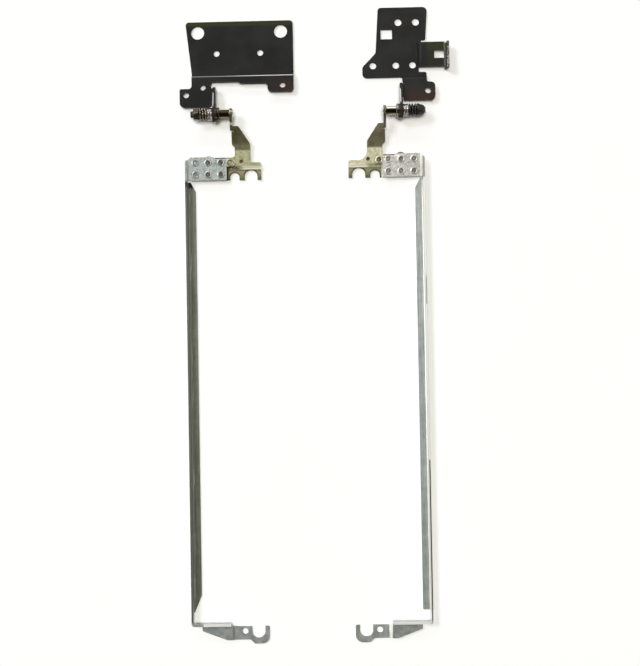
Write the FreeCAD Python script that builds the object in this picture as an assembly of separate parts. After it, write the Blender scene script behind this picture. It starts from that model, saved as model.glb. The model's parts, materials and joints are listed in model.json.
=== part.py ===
import FreeCAD, Part
import math
import os

# A pair of laptop screen hinges, opened flat and lying side by side on a table.
# Each hinge is a black base bracket, a friction shaft with its spring stack, a lid bracket
# with a screw fork, and a long screen rail that is clinched to the lid bracket.
# All sizes are in millimetres. Each hinge is drawn in its own frame and then placed:
# u runs inward from the outer face of the rail, v from the shaft axis towards the base, z up.

# Sheet stock and forming
base_sheet = 1.2
lid_sheet = 1.2
rail_sheet = 0.8
bend_radius = 0.6
rail_bend_radius = 0.5
small_corner = 0.8
corner = 1.6
round_corner = 2.2
waist_corner = 3.0
largest_corner_share = 0.495

# Layout of the pair
rail_spacing = 114.3
axis_height = 6.4

# Shaft and the stack on it, from the lid ear outwards
barrel_radius = 2.05
barrel_length = 4.8
shoulder_radius = 3.15
shoulder_length = 1.1
journal_radius = 1.6
journal_flats = 2.3
running_clearance = 0.05
tab_washer_thickness = 0.9
tab_washer_radius = 3.1
tab_width = 1.9
tab_thickness = 0.7
washer_thickness = 1.25
washer_radius = 2.95
disc_count = 3
disc_thickness = 1.3
disc_radius = 3.05
nut_sides = 6
nut_flats = 5.6
nut_length = {"left": 2.7, "right": 3.7}
tip_length = {"left": 1.4, "right": 0.5}
rivet_radius = 2.1
rivet_height = 0.5
rivet_tail_radius = 1.6
rivet_tail_flats = 2.3
hidden_sides = 12

# Base bracket, shared sizes
base_step = 2.2
base_step_run = 1.3
lug_head_radius = 3.2
lug_root_height = 2.0
lug_root_chamfer = {"left": 1.4, "right": 0.5}

# Left base bracket, a wide plate with two ears
left_length = 45.8
left_big_hole_radius = 3.15
left_big_hole_spacing = 40.0
left_big_hole_start = 6.6
left_big_hole_inset = 5.2
left_edge_margin = 5.9
left_small_hole_radius = 1.45
left_small_hole_spacing = 21.0
left_small_hole_offset = 9.0
left_small_hole_rise = 10.7
left_step_line = 19.7
left_waist_inset = 2.9
left_strip_depth = 4.3
left_strip_relief = 0.9
left_strip_relief_end = 26.0
left_strip_relief_run = 0.8
left_inner_ear_width = 12.4
left_inner_ear_drop = 4.3
left_inner_ear_hole_inset = (5.3, 3.1)
left_outer_ear_end = 4.2
left_outer_ear_depth = 8.9
left_outer_ear_overhang = 2.9
left_outer_ear_hole_inset = (3.1, 5.9)
left_middle_hole_inset = (5.4, 1.7)
left_ear_hole_radius = 1.4
left_lug_gap = 2.2
left_lug_notch = 1.0

# Right base bracket, a narrower plate with a side tab and one ear
right_length = 50.7
right_top_inner = 20.8
right_top_overhang = 2.8
right_waist_run = 1.4
right_waist_line = 28.9
right_low_edge = 17.0
right_low_overhang = 1.7
right_lobe_margin = 5.1
right_lobe_depth = 5.2
right_ear_root_overhang = 2.0
right_ear_root_depth = 2.4
right_ear_end = 5.4
right_ear_lobe_depth = 8.7
right_ear_lobe_overhang = 5.9
right_ear_margin = 0.4
right_ear_hole_radius = 1.4
right_ear_hole_inset = (3.4, 4.6)
right_lug_gap = 3.6
right_lug_notch = 1.6
right_tab_rise = 4.5
right_tab_width = 11.7
right_tab_step_line = 1.9
right_tab_notch = 1.5
right_tab_relief = 0.4
right_tab_relief_reach = 2.7
right_tab_relief_depth = 1.1
right_tab_window_width = 4.8
right_tab_window_depth = 3.9
right_tab_window_inset = 4.4
right_lip_overhang = 12.5
right_lip_drop = 1.2
right_lip_inset = 0.6
right_lip_height = 3.4
right_top_hole_radius = 1.7
right_top_hole_spacing = 8.4
right_top_hole_start = 2.8
right_top_hole_inset = 7.2
right_row_hole_radius = 1.6
right_row_hole_start = 4.6
right_row_hole_gaps = [8.0, 11.0]
right_row_hole_rise = 5.8
right_plate_window_width = 5.5
right_plate_window_depth = 4.6
right_plate_window_inset = (3.9, 12.9)

# Lid bracket
ear_face = {"left": 22.0, "right": 18.0}
ear_head_radius = 2.65
ear_root_height = 1.0
ear_root_length = 2.4
ear_relief = 0.5
lid_plate_height = 1.4
blade_gap = 5.3
blade_length = 11.3
blade_end_height = 3.9
blade_end_width = 3.6
blade_elbow_drop = 8.2
blade_edge_inset = 0.5
blade_edge_length = 8.6
blade_edge_taper = 1.4
neck_width = 9.1
arm_fillet = {"left": 1.6, "right": 4.7}
arm_drop = 6.0
arm_end = 36.2
fork_step_drop = 7.9
fork_step_run = 1.3
fork_drop = 14.2
fork_outer_side = 19.6
fork_relief = 0.6
fork_gap = 0.4
wide_slot_centre = 31.3
wide_slot_width = 6.2
wide_slot_depth = 4.7
narrow_slot_centre = 23.5
narrow_slot_width = 4.5
narrow_slot_depth = 3.5
lid_dimple_side = 26.8
lid_dimple_rise = 0.5
lid_dimple_radius = 0.95
lid_dimple_depth = 0.7
wing_outer_side = 2.2
wing_drop = 3.5
wing_length = 10.6
wing_bump_side = 11.2
wing_bump_drop = 1.5
wing_bump_radius = 2.5

# Screen rail
rail_length = 243.2
rail_wall_height = 5.0
strip_width = 4.5
strip_gap = 0.4
strip_start_width = 2.0
strip_start_taper = 4.7
strip_end_gap = 6.0
strip_end_taper = {"left": 8.0, "right": 0.6}
strip_end_width = {"left": 1.2, "right": 4.2}
rail_tab_lap = 0.2
rail_tab_length = 11.1
rail_tab_side = 19.8
rail_tab_chamfer = 2.2
rail_tab_shoulder = 13.6
rail_tab_shoulder_run = 0.9
tongue_drop = 1.0
tongue_width = 3.6
tongue_end = 23.8
clinch_start = 4.9
clinch_pitch = 6.1
clinch_count = 3
clinch_edge = 2.7
clinch_tongue_inset = 2.3
clinch_radius = 1.15
clinch_floor = 0.3
clinch_sides = 12
foot_wall_end = 18.8
foot_step = 1.0
foot_step_run = 1.2
foot_plate_start = 4.8
foot_plate_start_drop = 2.3
foot_knee = 16.5
foot_depth = 7.2
foot_hole_side = 25.1
foot_hole_drop = 3.2
foot_hole_radius = 1.4
hook_plate_drop = 0.9
hook_side = 31.5
hook_drop = 3.3
hook_inner_radius = 3.1
hook_end_width = 2.1
hook_base_width = 2.8
hook_knee_inset = 3.9
hook_knee_run = 2.0
hook_corner = 4.6

# Values that follow from the sizes above
far = 400.0
coincident = 1e-6
base_ear_top = base_step + base_sheet
left_top_outer = left_big_hole_start - left_edge_margin
left_inner_edge = left_big_hole_start + left_big_hole_spacing + left_edge_margin
left_big_hole_line = left_length - left_big_hole_inset
left_small_hole_start = left_big_hole_start + left_small_hole_offset
left_small_hole_line = left_step_line + left_small_hole_rise
left_waist = left_top_outer + left_waist_inset
left_strip_edge = left_step_line - left_strip_depth
left_inner_ear_end = left_strip_edge - left_inner_ear_drop
left_outer_ear_side = left_top_outer - left_outer_ear_overhang
left_outer_ear_top = left_outer_ear_end + left_outer_ear_depth
left_lug_root = left_strip_edge - left_lug_gap
right_row_hole_line = right_low_edge + right_row_hole_rise
right_lobe_side = right_row_hole_start + sum(right_row_hole_gaps) + right_lobe_margin
right_lug_root = right_low_edge - right_lug_gap
right_tab_low = right_low_edge + right_tab_rise
right_tab_top = right_tab_low + right_tab_width
blade_foot = -blade_gap - blade_length
slope = math.atan2(blade_end_height - lid_plate_height, blade_length)
fork_step_line = blade_foot - fork_step_drop
fork_tip = blade_foot - fork_drop
arm_top = blade_foot - arm_drop
wing_top = blade_foot - wing_drop
wing_low = wing_top - wing_length
ear_root = -blade_gap - ear_root_length
blade_edge_low = -blade_gap - blade_edge_length
rail_tab_height = lid_plate_height + lid_sheet
rail_tab_top = wing_top + rail_tab_lap
rail_tab_low = rail_tab_top - rail_tab_length
tongue_top = rail_tab_top - tongue_drop
tongue_low = tongue_top - tongue_width
strip_start = rail_tab_low - strip_gap
foot_wall_face = -rail_length
hook_line = foot_wall_face - hook_drop
hook_low = hook_line - hook_inner_radius - hook_base_width
shift_x = (left_outer_ear_side + right_lip_overhang) / -2.0
axis_y = -(right_length + hook_low) / 2.0


def in_plan(a, b):
    return FreeCAD.Vector(a, b, 0)


def in_side(a, b):
    return FreeCAD.Vector(0, a, b)


def in_front(a, b):
    return FreeCAD.Vector(a, 0, b)


def rounded_face(corners, plane):
    """Face bounded by straight runs between (a, b, radius) corners, each rounded by its radius."""
    points = [FreeCAD.Vector(a, b, 0) for a, b, radius in corners]
    count = len(points)
    turns = []
    for i in range(count):
        here = points[i]
        back = points[i - 1] - here
        ahead = points[(i + 1) % count] - here
        shortest = min(back.Length, ahead.Length)
        half = back.getAngle(ahead) / 2.0
        reach = min(corners[i][2] / math.tan(half), largest_corner_share * shortest)
        back.normalize()
        ahead.normalize()
        radius = reach * math.tan(half)
        to_centre = back + ahead
        middle = here
        if reach > 0:
            to_centre.normalize()
            middle = here + to_centre * (radius / math.sin(half) - radius)
        turns.append((here + back * reach, middle, here + ahead * reach))
    edges = []
    for i in range(count):
        start, middle, end = [plane(p.x, p.y) for p in turns[i]]
        following = plane(turns[(i + 1) % count][0].x, turns[(i + 1) % count][0].y)
        if start.distanceToPoint(end) > coincident:
            edges.append(Part.Arc(start, middle, end).toShape())
        if end.distanceToPoint(following) > coincident:
            edges.append(Part.LineSegment(end, following).toShape())
    return Part.Face(Part.Wire(edges))


def polygon_face(sides, radius, plane):
    """Regular polygon about the origin, its corners on a circle."""
    points = []
    for i in range(sides + 1):
        angle = 2.0 * math.pi * i / sides
        points.append(plane(radius * math.sin(angle), radius * math.cos(angle)))
    return Part.Face(Part.makePolygon(points))


def plate(corners, low, high):
    """Flat sheet with a plan outline between two heights."""
    face = rounded_face(corners, in_plan)
    face.translate(FreeCAD.Vector(0, 0, low))
    return face.extrude(FreeCAD.Vector(0, 0, high - low))


def column(corners):
    """Plan outline as a tall prism, to trim a formed sheet."""
    return plate(corners, -far, far)


def sheet_section(run, sheet, bend):
    """Corners of a bent sheet's section, whose lower or outer face follows run, sheet on its left."""
    points = [FreeCAD.Vector(a, b, 0) for a, b in run]
    directions = []
    for first, second in zip(points, points[1:]):
        directions.append((second - first).normalize())
    lower = [(points[0].x, points[0].y, 0)]
    normal = FreeCAD.Vector(-directions[0].y, directions[0].x, 0)
    upper = [(points[0].x + normal.x * sheet, points[0].y + normal.y * sheet, 0)]
    for point, before, after in zip(points[1:-1], directions, directions[1:]):
        turn = before.x * after.y - before.y * after.x
        normal = FreeCAD.Vector(-before.y - after.y, before.x + after.x, 0).normalize()
        mitre = sheet / (normal.x * -before.y + normal.y * before.x)
        inside = bend
        outside = bend + sheet
        lower.append((point.x, point.y, outside if turn > 0 else inside))
        above = point + normal * mitre
        upper.append((above.x, above.y, inside if turn > 0 else outside))
    last = directions[-1]
    lower.append((points[-1].x, points[-1].y, 0))
    upper.append((points[-1].x - last.y * sheet, points[-1].y + last.x * sheet, 0))
    return lower + upper[::-1]


def fold_across(run, sheet, bend, start, end):
    """Sheet bent to a (v, z) run, as wide as u from start to end."""
    face = rounded_face(sheet_section(run, sheet, bend), in_side)
    face.translate(FreeCAD.Vector(start, 0, 0))
    return face.extrude(FreeCAD.Vector(end - start, 0, 0))


def fold_along(run, sheet, bend, start, end):
    """Sheet bent to a (u, z) run, as long as v from start to end."""
    face = rounded_face(sheet_section(run, sheet, bend), in_front)
    face.translate(FreeCAD.Vector(0, start, 0))
    return face.extrude(FreeCAD.Vector(0, end - start, 0))


def tangent_point(point, radius, upper):
    """Where a line from a (v, z) point touches the round head about the shaft axis."""
    away = math.hypot(point[0], point[1] - axis_height)
    aim = math.atan2(point[1] - axis_height, point[0])
    spread = math.acos(radius / away)
    choices = [aim + spread, aim - spread]
    heights = [math.sin(angle) for angle in choices]
    angle = choices[heights.index(max(heights) if upper else min(heights))]
    return FreeCAD.Vector(0, radius * math.cos(angle), axis_height + radius * math.sin(angle))


def ear_prism(radius, tail):
    """Round-headed ear seen from the side, its tail drawn from the upper to the lower end."""
    centre = FreeCAD.Vector(0, 0, axis_height)
    upper = tangent_point(tail[0], radius, True)
    lower = tangent_point(tail[-1], radius, False)
    outward = (centre - (upper + lower) * 0.5).normalize()
    edges = [Part.Arc(upper, centre + outward * radius, lower).toShape()]
    stops = [lower] + [in_side(v, z) for v, z in tail[::-1]] + [upper]
    for first, second in zip(stops, stops[1:]):
        edges.append(Part.LineSegment(first, second).toShape())
    face = Part.Face(Part.Wire(edges))
    face.translate(FreeCAD.Vector(-far, 0, 0))
    return face.extrude(FreeCAD.Vector(2 * far, 0, 0))


def on_axis(radius, start, end):
    """Round bar on the shaft axis from u start to u end."""
    low = min(start, end)
    base = FreeCAD.Vector(low, 0, axis_height)
    return Part.makeCylinder(radius, abs(end - start), base, FreeCAD.Vector(1, 0, 0))


def faceted(radius, start, end):
    """Bar on the shaft axis with few flat sides, for the bores and tails that the stack hides."""
    face = polygon_face(hidden_sides, radius, in_side)
    face.translate(FreeCAD.Vector(start, 0, axis_height))
    return face.extrude(FreeCAD.Vector(end - start, 0, 0))


def flats(across, start, end):
    """Block that leaves two flats on a bar on the shaft axis."""
    low = min(start, end)
    low_corner = FreeCAD.Vector(low, -far, axis_height - across / 2.0)
    return Part.makeBox(abs(end - start), 2 * far, across, low_corner)


def drill(radius, u, v):
    """Upright hole tool."""
    return Part.makeCylinder(radius, 2 * far, FreeCAD.Vector(u, v, -far))


def window(centre_u, centre_v, width, depth):
    """Upright rectangular hole tool."""
    low_corner = FreeCAD.Vector(centre_u - width / 2.0, centre_v - depth / 2.0, -far)
    return Part.makeBox(width, depth, 2 * far, low_corner)


def slot_cut(centre, width, depth):
    """Round-ended slot tool, open towards the fork tips."""
    half = width / 2.0
    arc_line = fork_tip + depth - half
    end = fork_tip - width
    head = Part.makeCylinder(half, 2 * far, FreeCAD.Vector(centre, arc_line, -far))
    low_corner = FreeCAD.Vector(centre - half, end, -far)
    return head.fuse(Part.makeBox(width, arc_line - end, 2 * far, low_corner))


def joined(first, *others):
    """One clean solid from touching pieces."""
    return first.fuse(list(others)).removeSplitter()


def stack_positions(side):
    """Faces of the stack along u, from the lid ear outwards."""
    stops = {"ear": ear_face[side]}
    stops["barrel"] = stops["ear"] - barrel_length
    stops["shoulder"] = stops["barrel"] - shoulder_length
    stops["tab_washer"] = stops["shoulder"] - running_clearance
    stops["lug"] = stops["tab_washer"] - tab_washer_thickness
    stops["lug_end"] = stops["lug"] - base_sheet
    stops["washer_1"] = stops["lug_end"] - running_clearance
    stops["washer_2"] = stops["washer_1"] - washer_thickness
    stops["discs"] = stops["washer_2"] - washer_thickness
    stops["nut"] = stops["discs"] - disc_count * disc_thickness
    stops["tip"] = stops["nut"] - nut_length[side]
    stops["end"] = stops["tip"] - tip_length[side]
    return stops


def shaft_lug(side, root):
    """Upright lug that carries the shaft, bent up from the ear's inner edge."""
    stops = stack_positions(side)
    ear_end = left_outer_ear_end if side == "left" else right_ear_end
    bend_end = ear_end + bend_radius + base_sheet
    flat_end = stops["lug"] - base_sheet - bend_radius
    top = axis_height + lug_head_radius
    run = [(flat_end - base_sheet, base_step), (stops["lug"], base_step), (stops["lug"], top)]
    fold = fold_along(run, base_sheet, bend_radius, bend_end, root)
    low_corner = FreeCAD.Vector(stops["lug_end"], -lug_head_radius, base_step)
    flat = Part.makeBox(base_sheet, bend_end + lug_head_radius, top - base_step, low_corner)
    root_top = base_ear_top + lug_root_height
    tail = [(root, root_top), (root, base_step), (bend_end, base_step)]
    lug = joined(fold, flat).common(ear_prism(lug_head_radius, tail))
    return lug.cut(on_axis(journal_radius + running_clearance, -far, far))


def left_ear_holes():
    """Centres of the screw holes on the raised level of the left base bracket."""
    inner_u = left_inner_edge - left_inner_ear_hole_inset[0]
    inner_v = left_inner_ear_end + left_inner_ear_hole_inset[1]
    outer_u = left_outer_ear_side + left_outer_ear_hole_inset[0]
    outer_v = left_outer_ear_end + left_outer_ear_hole_inset[1]
    middle_u = left_waist + left_middle_hole_inset[0]
    middle_v = left_strip_edge - left_middle_hole_inset[1]
    return [(inner_u, inner_v), (outer_u, outer_v), (middle_u, middle_v)]


def left_base_bracket():
    """Wide plate that steps up to two ears, with the shaft lug bent up from the outer one."""
    stops = stack_positions("left")
    flat_end = stops["lug"] - base_sheet - bend_radius
    strip_edge = left_strip_edge + left_strip_relief
    ear_side = left_inner_edge - left_inner_ear_width
    trim = column([
        (left_top_outer, left_length, corner),
        (left_inner_edge, left_length, corner),
        (left_inner_edge, left_inner_ear_end, corner),
        (ear_side, left_inner_ear_end, corner),
        (ear_side, left_strip_edge, corner),
        (left_strip_relief_end + left_strip_relief_run, left_strip_edge, 0),
        (left_strip_relief_end, strip_edge, 0),
        (flat_end, strip_edge, 0),
        (flat_end - left_lug_notch, left_lug_root + left_lug_notch, 0),
        (flat_end, left_lug_root, 0),
        (flat_end, left_outer_ear_end + bend_radius + base_sheet, 0),
        (flat_end - lug_root_chamfer["left"], left_outer_ear_end, 0),
        (left_outer_ear_side, left_outer_ear_end, round_corner),
        (left_outer_ear_side, left_outer_ear_top, small_corner),
        (left_waist, left_outer_ear_top, corner),
        (left_waist, left_step_line, waist_corner),
    ])
    step_end = left_step_line - base_step_run
    low_end = left_outer_ear_end - base_sheet
    run = [(low_end, base_step), (step_end, base_step)]
    run += [(left_step_line, 0), (left_length + base_sheet, 0)]
    sheet = fold_across(run, base_sheet, bend_radius, -far, far).common(trim)
    bracket = joined(sheet, shaft_lug("left", left_lug_root))
    for i in range(2):
        u = left_big_hole_start + i * left_big_hole_spacing
        bracket = bracket.cut(drill(left_big_hole_radius, u, left_big_hole_line))
        u = left_small_hole_start + i * left_small_hole_spacing
        bracket = bracket.cut(drill(left_small_hole_radius, u, left_small_hole_line))
    for u, v in left_ear_holes():
        bracket = bracket.cut(drill(left_ear_hole_radius, u, v))
    return bracket


def right_base_plate():
    """Lower level of the right base bracket."""
    tab_root = right_tab_step_line + base_sheet
    ear_root_top = right_low_edge + right_ear_root_depth
    relief_low = right_tab_top + right_tab_relief
    relief_top = relief_low + right_tab_relief_depth
    return plate([
        (-right_top_overhang, right_length, round_corner),
        (right_top_inner, right_length, corner),
        (right_top_inner + right_waist_run, right_waist_line, waist_corner),
        (right_lobe_side, right_low_edge + right_lobe_depth, round_corner),
        (right_lobe_side, right_low_edge, round_corner),
        (-right_ear_root_overhang, right_low_edge, 0),
        (-right_ear_root_overhang, ear_root_top, small_corner),
        (tab_root - right_tab_notch, ear_root_top, 0),
        (tab_root - right_tab_notch, right_tab_low, 0),
        (tab_root, right_tab_low, 0),
        (tab_root, right_tab_top, 0),
        (tab_root - right_tab_relief_reach, relief_low, 0),
        (tab_root - right_tab_relief_reach, relief_top, 0),
        (-right_low_overhang, relief_top, small_corner),
    ], 0, base_sheet)


def right_base_ear():
    """Raised ear of the right base bracket, stepped up from the lower edge of its plate."""
    stops = stack_positions("right")
    flat_end = stops["lug"] - base_sheet - bend_radius
    root = right_low_edge + base_sheet
    lobe_top = right_ear_end + right_ear_lobe_depth
    trim = column([
        (-right_ear_root_overhang, root, 0),
        (flat_end + right_ear_margin, root, 0),
        (flat_end + right_ear_margin, right_low_edge - right_lug_notch, 0),
        (flat_end, right_lug_root, 0),
        (flat_end, right_ear_end + lug_root_chamfer["right"], 0),
        (flat_end - lug_root_chamfer["right"], right_ear_end, 0),
        (-right_ear_lobe_overhang, right_ear_end, round_corner),
        (-right_ear_lobe_overhang, lobe_top, round_corner),
        (-right_ear_root_overhang, lobe_top, small_corner),
    ])
    low_end = right_ear_end - base_sheet
    step_end = right_low_edge - base_step_run
    run = [(low_end, base_step), (step_end, base_step)]
    run += [(right_low_edge, 0), (root + base_sheet, 0)]
    return fold_across(run, base_sheet, bend_radius, -far, far).common(trim)


def right_base_tab():
    """Side tab of the right base bracket, stepped up and ended by an upright lip."""
    root = right_tab_step_line + base_sheet
    lip_side = -right_lip_overhang
    lip_end = lip_side + base_sheet + bend_radius
    lip_low = right_tab_low - right_lip_drop
    lip_high = right_tab_top - right_lip_inset
    lip_top = base_step + base_sheet + right_lip_height
    step_end = right_tab_step_line - base_step_run
    run = [(lip_side, lip_top), (lip_side, base_step), (step_end, base_step)]
    run += [(right_tab_step_line, 0), (root + base_sheet, 0)]
    formed = fold_along(run, base_sheet, bend_radius, -far, far)
    trim = column([
        (root, right_tab_low, 0),
        (root, right_tab_top, 0),
        (lip_end, right_tab_top, 0),
        (lip_end, lip_high, 0),
        (lip_side - base_sheet, lip_high, 0),
        (lip_side - base_sheet, lip_low, 0),
        (lip_end, lip_low, 0),
        (lip_end, right_tab_low, 0),
    ])
    window_u = lip_side + right_tab_window_inset
    window_v = (right_tab_low + right_tab_top) / 2.0
    opening = window(window_u, window_v, right_tab_window_width, right_tab_window_depth)
    return formed.common(trim).cut(opening)


def right_base_bracket():
    """Plate with a window, a lipped side tab and a raised ear that carries the shaft lug."""
    lug = shaft_lug("right", right_lug_root)
    bracket = joined(right_base_plate(), right_base_ear(), right_base_tab(), lug)
    line = right_length - right_top_hole_inset
    for i in range(2):
        u = right_top_hole_start + i * right_top_hole_spacing
        bracket = bracket.cut(drill(right_top_hole_radius, u, line))
    u = right_row_hole_start
    for gap in [0] + right_row_hole_gaps:
        u += gap
        bracket = bracket.cut(drill(right_row_hole_radius, u, right_row_hole_line))
    u = right_ear_hole_inset[0] - right_ear_lobe_overhang
    v = right_ear_hole_inset[1] + right_ear_end
    bracket = bracket.cut(drill(right_ear_hole_radius, u, v))
    u = right_top_inner - right_plate_window_inset[0]
    v = right_length - right_plate_window_inset[1]
    return bracket.cut(window(u, v, right_plate_window_width, right_plate_window_depth))


def tab_washer(side):
    """Friction washer that is keyed to the lug by a bent tab."""
    stops = stack_positions(side)
    ring = on_axis(tab_washer_radius, stops["tab_washer"], stops["lug"])
    reach = lug_head_radius + tab_thickness
    half = tab_width / 2.0
    low_corner = FreeCAD.Vector(stops["lug"], -reach, axis_height - half)
    spoke = Part.makeBox(tab_washer_thickness, reach, tab_width, low_corner)
    low_corner = FreeCAD.Vector(stops["lug_end"], -reach, axis_height - half)
    finger = Part.makeBox(base_sheet, tab_thickness, tab_width, low_corner)
    finger = finger.cut(on_axis(lug_head_radius, -far, far))
    return joined(ring, spoke, finger).cut(hidden_bore())


def hidden_bore():
    """Hole tool that clears the journal inside the stack."""
    inscribed = journal_radius + running_clearance
    return faceted(inscribed / math.cos(math.pi / hidden_sides), -far, far)


def keyed_hole():
    """Two-flat hole tool for what turns with the shaft."""
    return hidden_bore().common(flats(journal_flats + 2 * running_clearance, -far, far))


def rivet_tail(start, end):
    """Two-flat tail that keys the shaft to the lid ear."""
    tail = faceted(rivet_tail_radius, start, end)
    return tail.common(flats(rivet_tail_flats, start, end))


def keyed_ring(radius, start, end):
    """Washer or flat-pressed disc spring that turns with the shaft."""
    return on_axis(radius, start, end).cut(keyed_hole())


def lock_nut(side):
    """Hexagon nut on the threaded end of the shaft."""
    stops = stack_positions(side)
    corner_radius = nut_flats / 2.0 / math.cos(math.pi / nut_sides)
    face = polygon_face(nut_sides, corner_radius, in_side)
    face.translate(FreeCAD.Vector(stops["tip"], 0, axis_height))
    hexagon = face.extrude(FreeCAD.Vector(nut_length[side], 0, 0))
    return hexagon.cut(hidden_bore())


def hinge_shaft(side):
    """Turned shaft: riveted tail in the lid ear, barrel, shoulder, and a flatted, threaded bar."""
    stops = stack_positions(side)
    ear_back = stops["ear"] + lid_sheet
    rivet_end = ear_back + rivet_height
    head = on_axis(rivet_radius, ear_back, rivet_end)
    tail = rivet_tail(stops["ear"], rivet_end)
    barrel = on_axis(barrel_radius, stops["barrel"], stops["ear"])
    shoulder = on_axis(shoulder_radius, stops["shoulder"], stops["barrel"])
    journal = on_axis(journal_radius, stops["end"], stops["shoulder"])
    journal = journal.common(flats(journal_flats, stops["end"], stops["shoulder"]))
    return joined(barrel, head, tail, shoulder, journal)


def clinch_places():
    """Centres of the clinched joints between the screen rail and the lid bracket."""
    places = [(tongue_end - clinch_tongue_inset, (tongue_top + tongue_low) / 2.0)]
    for i in range(clinch_count):
        u = clinch_start + i * clinch_pitch
        places.append((u, rail_tab_top - clinch_edge))
        places.append((u, rail_tab_low + clinch_edge))
    return places


def lid_ear(side):
    """Upright ear bent up from the blade's top corner, riveted to the shaft."""
    face = ear_face[side]
    length = blade_length / math.cos(slope)
    flat_start = face + lid_sheet + bend_radius
    top = axis_height + ear_head_radius
    run = [(face, 2 * top), (face, 0), (flat_start + lid_sheet, 0)]
    fold_start = (ear_root - blade_foot) / math.cos(slope) - lid_sheet
    fold = fold_along(run, lid_sheet, bend_radius, fold_start, length)
    flat = Part.makeBox(lid_sheet, length, 3 * top, FreeCAD.Vector(face, length, -top))
    fold = joined(fold, flat)
    fold.rotate(FreeCAD.Vector(0, 0, 0), FreeCAD.Vector(1, 0, 0), math.degrees(slope))
    fold.translate(FreeCAD.Vector(0, blade_foot, lid_plate_height))
    root_height = lid_plate_height + (ear_root - blade_foot) * math.tan(slope)
    root_top = root_height + lid_sheet + bend_radius + ear_root_height
    tail = [(ear_root, root_top), (ear_root, root_height - lid_sheet)]
    tail.append((-blade_gap, blade_end_height - lid_sheet * math.tan(slope)))
    return fold.common(ear_prism(ear_head_radius, tail)).cut(rivet_tail(-far, far))


def lid_bracket(side):
    """Blade that slopes down from the ear to a flat plate, with a stepped screw fork and a wing."""
    face = ear_face[side]
    blade_side = face + lid_sheet + bend_radius
    edge_side = face + blade_edge_inset
    edge_top = ear_root - ear_relief
    step_end = fork_step_line - fork_step_run
    sweep = arm_fillet[side] * (2.0 - math.sqrt(2.0))
    run = [(fork_tip - lid_sheet, 0), (step_end, 0), (fork_step_line, lid_plate_height)]
    run += [(blade_foot, lid_plate_height), (-blade_gap, blade_end_height)]
    formed = fold_across(run, lid_sheet, bend_radius, -far, far)
    trim = column([
        (blade_side, lid_sheet - blade_gap, 0),
        (face + blade_end_width, lid_sheet - blade_gap, 0),
        (face + blade_end_width, -blade_gap, corner),
        (face + neck_width, -blade_gap - blade_elbow_drop, corner),
        (face + neck_width, arm_top + sweep, arm_fillet[side]),
        (face + neck_width + sweep, arm_top, arm_fillet[side]),
        (arm_end, arm_top, small_corner),
        (arm_end, fork_tip, 0),
        (fork_outer_side, fork_tip, 0),
        (fork_outer_side, fork_step_line + fork_relief, 0),
        (fork_outer_side - lid_sheet, fork_step_line + fork_relief, 0),
        (fork_outer_side - lid_sheet, wing_top, 0),
        (blade_side, wing_top, corner),
        (blade_side, blade_edge_low - blade_edge_taper, 0),
        (edge_side, blade_edge_low, 0),
        (edge_side, edge_top, 0),
        (blade_side, edge_top, 0),
    ])
    fork = formed.common(trim)
    wing_side = fork_outer_side - fork_gap
    wing = plate([
        (wing_outer_side, wing_top, small_corner),
        (wing_side, wing_top, 0),
        (wing_side, wing_low, 0),
        (wing_outer_side, wing_low, small_corner),
    ], lid_plate_height, rail_tab_height)
    base = FreeCAD.Vector(wing_bump_side, wing_top - wing_bump_drop, lid_plate_height)
    bump = Part.makeCylinder(wing_bump_radius, lid_sheet, base)
    bracket = joined(fork, wing, bump, lid_ear(side))
    bracket = bracket.cut(slot_cut(wide_slot_centre, wide_slot_width, wide_slot_depth))
    bracket = bracket.cut(slot_cut(narrow_slot_centre, narrow_slot_width, narrow_slot_depth))
    floor = lid_plate_height + lid_sheet - lid_dimple_depth
    centre = FreeCAD.Vector(lid_dimple_side, arm_top + lid_dimple_rise, floor)
    return bracket.cut(Part.makeCylinder(lid_dimple_radius, far, centre))


def rail_tab():
    """Tab of the screen rail, folded in from the wall over the lid bracket, with a round tongue."""
    run = [(0, rail_wall_height), (0, rail_tab_height), (tongue_end + rail_sheet, rail_tab_height)]
    formed = fold_along(run, rail_sheet, rail_bend_radius, rail_tab_low, rail_tab_top)
    round_end = (tongue_top - tongue_low) / 2.0
    trim = column([
        (-rail_sheet, rail_tab_low, 0),
        (rail_tab_side, rail_tab_low, small_corner),
        (rail_tab_side, tongue_low, 0),
        (tongue_end, tongue_low, round_end),
        (tongue_end, tongue_top, round_end),
        (rail_tab_shoulder + rail_tab_shoulder_run, tongue_top, 0),
        (rail_tab_shoulder, rail_tab_top, 0),
        (rail_tab_chamfer, rail_tab_top, small_corner),
        (0, rail_tab_top - rail_tab_chamfer, 0),
        (-rail_sheet, rail_tab_top - rail_tab_chamfer, 0),
    ])
    return formed.common(trim)


def rail_strip(side):
    """Long angle of the rail: a flat strip on the table and the wall folded up from it."""
    strip_end = foot_wall_face + strip_end_gap
    run = [(0, rail_wall_height), (0, 0), (strip_width, 0)]
    formed = fold_along(run, rail_sheet, rail_bend_radius, strip_end, strip_start)
    trim = column([
        (-rail_sheet, strip_start, 0),
        (strip_start_width, strip_start, 0),
        (strip_width, strip_start - strip_start_taper, corner),
        (strip_width, strip_end + strip_end_taper[side], small_corner),
        (strip_end_width[side], strip_end, 0),
        (-rail_sheet, strip_end, 0),
    ])
    return formed.common(trim)


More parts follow.
